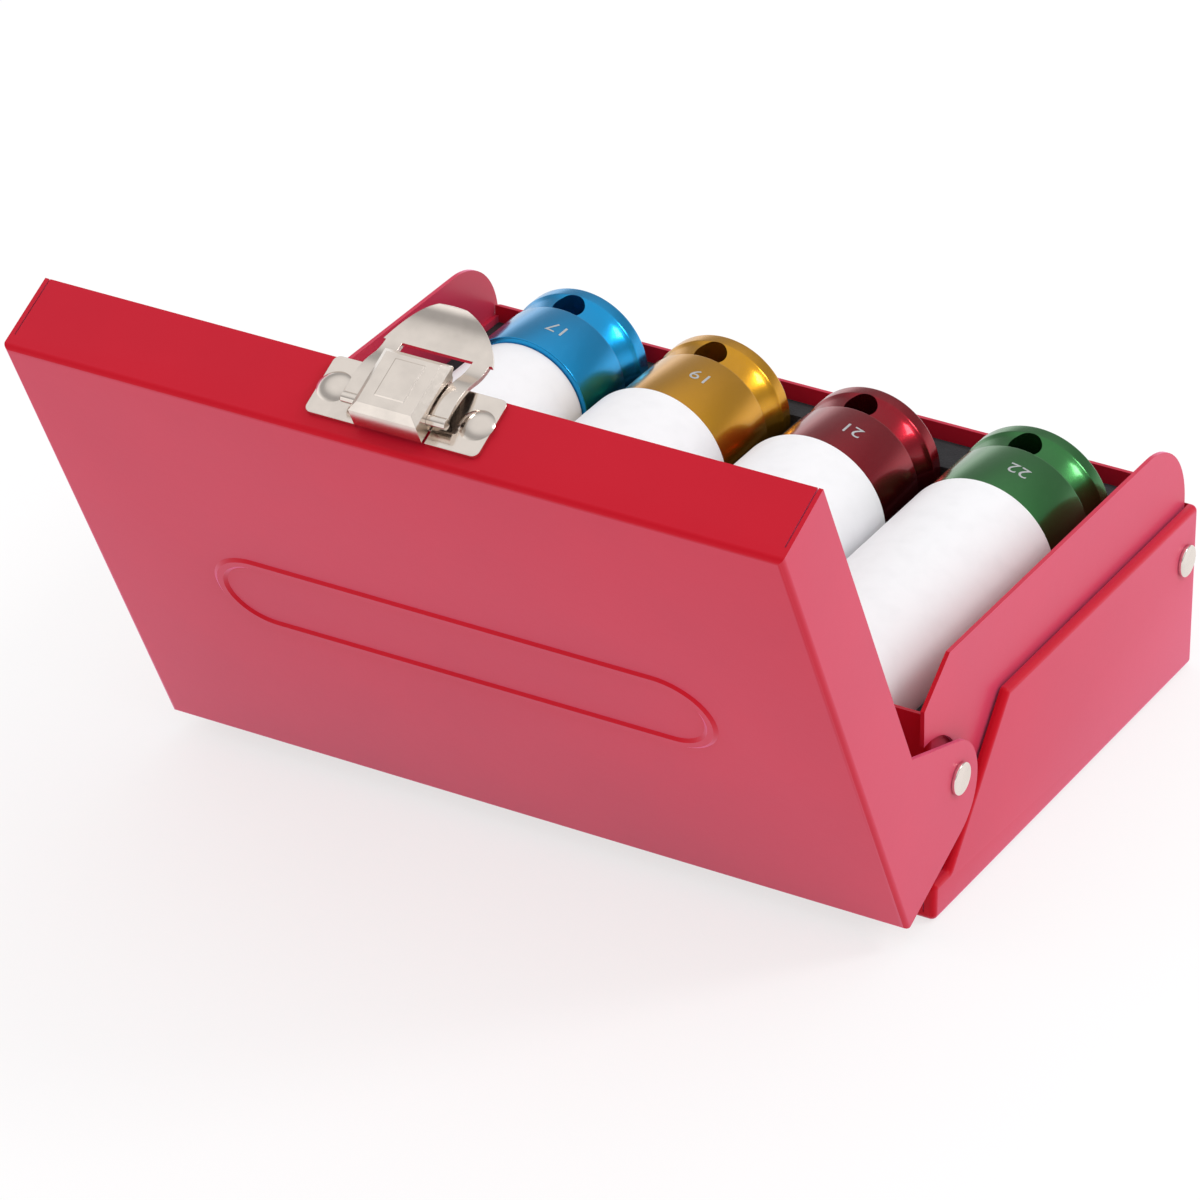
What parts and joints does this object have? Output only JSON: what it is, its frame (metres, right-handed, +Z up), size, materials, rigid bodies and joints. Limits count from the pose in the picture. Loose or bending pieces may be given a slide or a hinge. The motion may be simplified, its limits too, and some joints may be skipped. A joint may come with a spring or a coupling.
{
  "type": "socket organizer case",
  "caption": "Hinged sheet-steel organizer case for impact sockets, with a foam-lined lift tray, side rivet hinges and a draw latch; deep sleeved sockets lie in it.",
  "frame": {"origin": "on the rest face, at the middle of the base's footprint", "axes": "+Z up; +Y towards the hinge side; -Y towards the latch side; +X along the hinge pins"},
  "size_m": [0.1518, 0.1623, 0.1169],
  "materials": {
    "red_paint": "satin powder coat",
    "nickel": "satin nickel plate",
    "foam": "matt closed-cell foam",
    "blue_anodised": "gloss coloured finish",
    "gold_anodised": "gloss coloured finish",
    "red_anodised": "gloss coloured finish",
    "green_anodised": "gloss coloured finish",
    "white_sleeve": "satin"
  },
  "bodies": {
    "base": {"base_shell": "red_paint", "keeper_plate": "nickel", "keeper_rivets": "nickel"},
    "insert": {"insert_tray": "red_paint", "foam_liner": "foam", "front_pivot_rivets": "nickel", "rear_pivot_rivets": "nickel", "socket_17": "blue_anodised", "socket_19": "gold_anodised", "socket_21": "red_anodised", "socket_22": "green_anodised", "sleeve_17": "white_sleeve", "sleeve_19": "white_sleeve", "sleeve_21": "white_sleeve", "sleeve_22": "white_sleeve"},
    "lid": {"lid_shell": "red_paint", "latch_backplate": "nickel", "latch_rivets": "nickel", "lever_pin": "nickel"},
    "lever": {"latch_lever": "nickel"},
    "bail": {"latch_bail": "nickel"}
  },
  "joints": [
    {"name": "insert_tilt", "type": "hinge", "parent": "base", "child": "insert", "pos_m": [0, -0.04665, 0.024], "axis": [1, 0, 0], "range_deg": [0, 3.5]},
    {"name": "lid_hinge", "type": "hinge", "parent": "insert", "child": "lid", "pos_m": [0, 0.04385, 0.0254], "axis": [1, 0, 0], "range_deg": [0, 116.5]},
    {"name": "latch_lever_hinge", "type": "hinge", "parent": "lid", "child": "lever", "pos_m": [0, 0.0997, 0.10963], "axis": [1, 0, 0], "range_deg": [0, 90]},
    {"name": "bail_swing", "type": "hinge", "parent": "lever", "child": "bail", "pos_m": [0, 0.10579, 0.10637], "axis": [1, 0, 0], "range_deg": [-135, 0]}
  ],
  "couplings": [
    {"joint": "bail_swing", "follows": "latch_lever_hinge", "ratio": -1.5}
  ]
}
